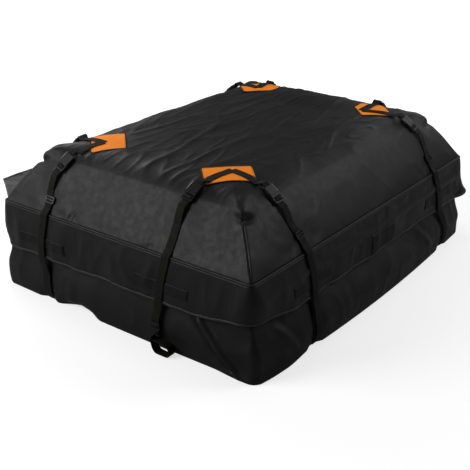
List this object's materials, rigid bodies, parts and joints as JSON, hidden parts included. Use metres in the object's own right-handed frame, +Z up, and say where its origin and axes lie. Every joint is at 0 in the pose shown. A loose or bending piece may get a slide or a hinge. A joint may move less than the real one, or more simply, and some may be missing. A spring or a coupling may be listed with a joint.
{
  "type": "roof cargo bag",
  "caption": "Soft rectangular roof cargo bag, packed and closed, with a zipped lid under a storm flap, orange corner patches and buckled webbing straps that end in floor loops.",
  "frame": {"origin": "middle of the flat bottom face of the tub, on the floor", "axes": "+X along the long side, +Y across towards the hinge side of the lid, +Z up out of the lid"},
  "size_m": [1.1982, 1.0238, 0.4274],
  "materials": {
    "tarpaulin": "PVC-coated tarpaulin, satin",
    "orange_fabric": "coated fabric, satin",
    "webbing": "woven polyester webbing, matt",
    "buckle_plastic": "moulded acetal, fine satin",
    "zip_metal": "die-cast, tumbled"
  },
  "bodies": {
    "bag": {"tub": "tarpaulin", "lid": "tarpaulin", "storm_flap": "tarpaulin", "piping": "tarpaulin", "zip_tape": "webbing", "zip_chain": "buckle_plastic", "patch_front_left": "orange_fabric", "legs_front_left": "webbing", "patch_rear_left": "orange_fabric", "legs_rear_left": "webbing", "patch_front_right": "orange_fabric", "legs_front_right": "webbing", "patch_rear_right": "orange_fabric", "legs_rear_right": "webbing", "socket_front_left": "buckle_plastic", "clip_front_left": "buckle_plastic", "strap_front_left": "webbing", "anchor_front_left": "webbing", "glide_front_left": "buckle_plastic", "socket_rear_left": "buckle_plastic", "clip_rear_left": "buckle_plastic", "strap_rear_left": "webbing", "anchor_rear_left": "webbing", "socket_left_front": "buckle_plastic", "clip_left_front": "buckle_plastic", "strap_left_front": "webbing", "anchor_left_front": "webbing", "socket_right_front": "buckle_plastic", "clip_right_front": "buckle_plastic", "strap_right_front": "webbing", "anchor_right_front": "webbing", "socket_front_right": "buckle_plastic", "clip_front_right": "buckle_plastic", "strap_front_right": "webbing", "anchor_front_right": "webbing", "glide_front_right": "buckle_plastic", "socket_rear_right": "buckle_plastic", "clip_rear_right": "buckle_plastic", "strap_rear_right": "webbing", "anchor_rear_right": "webbing", "glide_rear_right": "buckle_plastic", "socket_left_rear": "buckle_plastic", "clip_left_rear": "buckle_plastic", "strap_left_rear": "webbing", "anchor_left_rear": "webbing", "glide_left_rear": "buckle_plastic", "socket_right_rear": "buckle_plastic", "clip_right_rear": "buckle_plastic", "strap_right_rear": "webbing", "anchor_right_rear": "webbing", "glide_right_rear": "buckle_plastic", "centre_tab": "webbing"},
    "slider_left": {"zip_slider_left": "zip_metal"},
    "pull_left": {"zip_pull_left": "zip_metal"},
    "slider_right": {"zip_slider_right": "zip_metal"},
    "pull_right": {"zip_pull_right": "zip_metal"}
  },
  "joints": [
    {"name": "slider_left_run", "type": "slide", "parent": "bag", "child": "slider_left", "axis": [-1, 0, 0], "range_m": [0, 0.44]},
    {"name": "slider_right_run", "type": "slide", "parent": "bag", "child": "slider_right", "axis": [1, 0, 0], "range_m": [0, 0.44]},
    {"name": "pull_left_swing", "type": "hinge", "parent": "slider_left", "child": "pull_left", "pos_m": [-0.012, -0.42665, 0.212], "axis": [0, 0, 1], "range_deg": [0, 14]},
    {"name": "pull_right_swing", "type": "hinge", "parent": "slider_right", "child": "pull_right", "pos_m": [0.012, -0.42665, 0.212], "axis": [0, 0, -1], "range_deg": [0, 14]}
  ]
}
